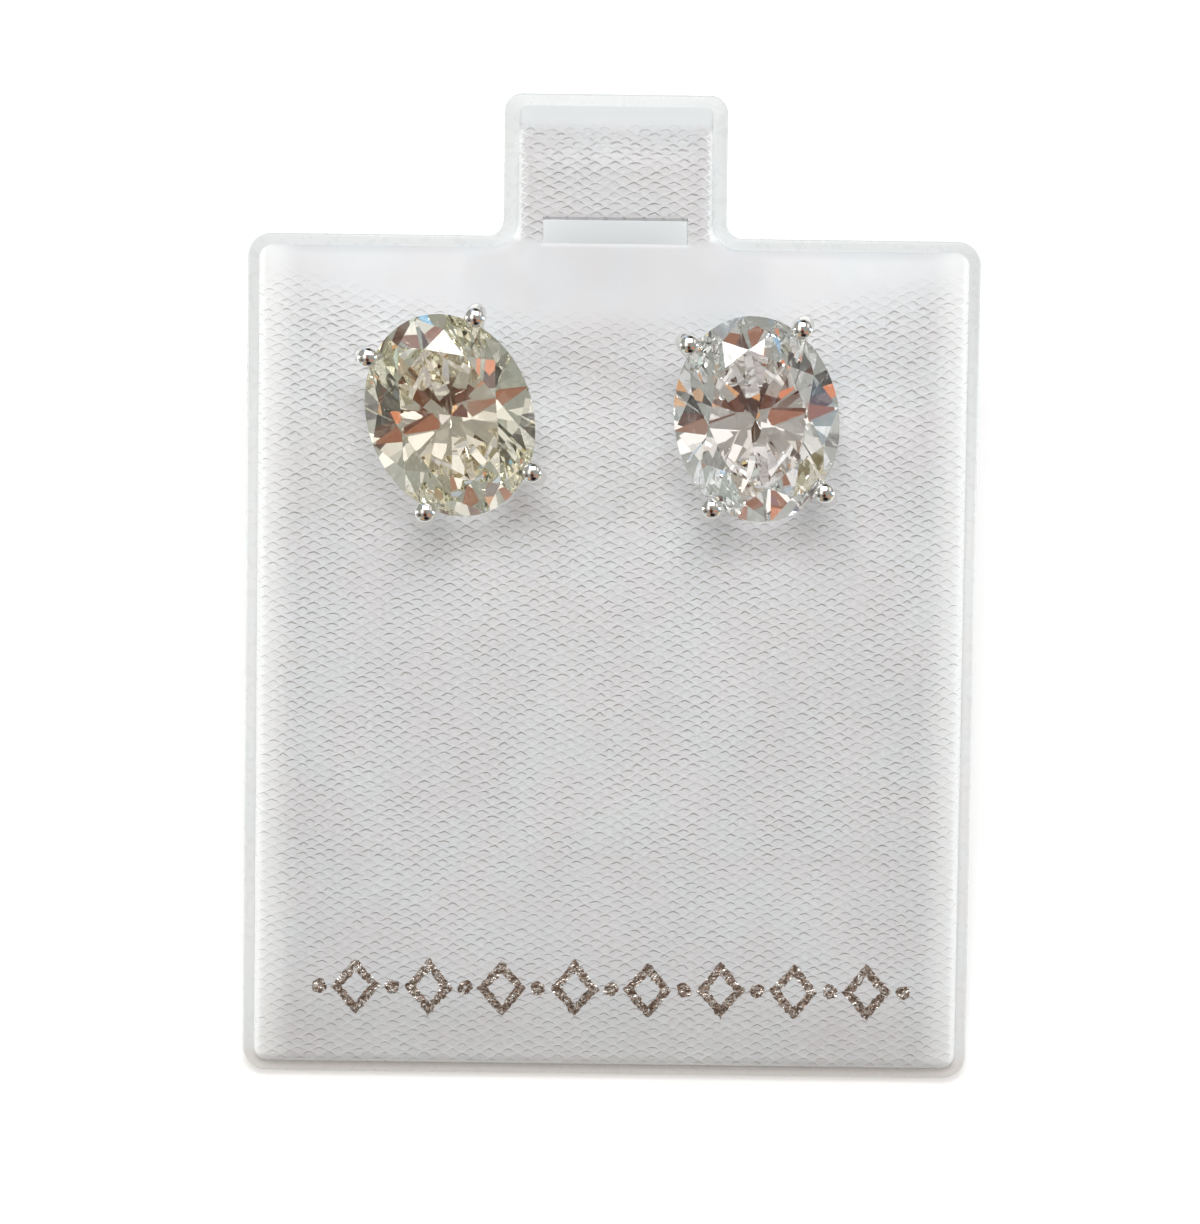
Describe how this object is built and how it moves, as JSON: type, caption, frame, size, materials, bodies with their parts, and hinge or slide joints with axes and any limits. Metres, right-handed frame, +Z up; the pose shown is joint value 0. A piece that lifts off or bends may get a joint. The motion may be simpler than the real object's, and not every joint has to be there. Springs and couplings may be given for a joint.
{
  "type": "stud earrings on display card",
  "caption": "Oval brilliant stud earrings in pronged silver baskets, pinned through a puffed white display card with a slotted hanging tab.",
  "frame": {"origin": "centre of the footprint of the whole part, on the surface that it lies on", "axes": "+X to the right across the card, +Y from the card's bottom edge towards its hanging tab, +Z up; the card leans back by 13.2 degrees because it stands on its bottom edge and the two post tips"},
  "size_m": [0.0368, 0.0484, 0.0155],
  "materials": {
    "card_vinyl": "embossed, softly glossy",
    "silver": "polished",
    "crystal": "polished facets"
  },
  "bodies": {
    "root": {"card": "card_vinyl", "left_setting": "silver", "right_setting": "silver", "left_stone": "crystal", "right_stone": "crystal", "left_ear_nut": "silver", "right_ear_nut": "silver"}
  },
  "joints": []
}
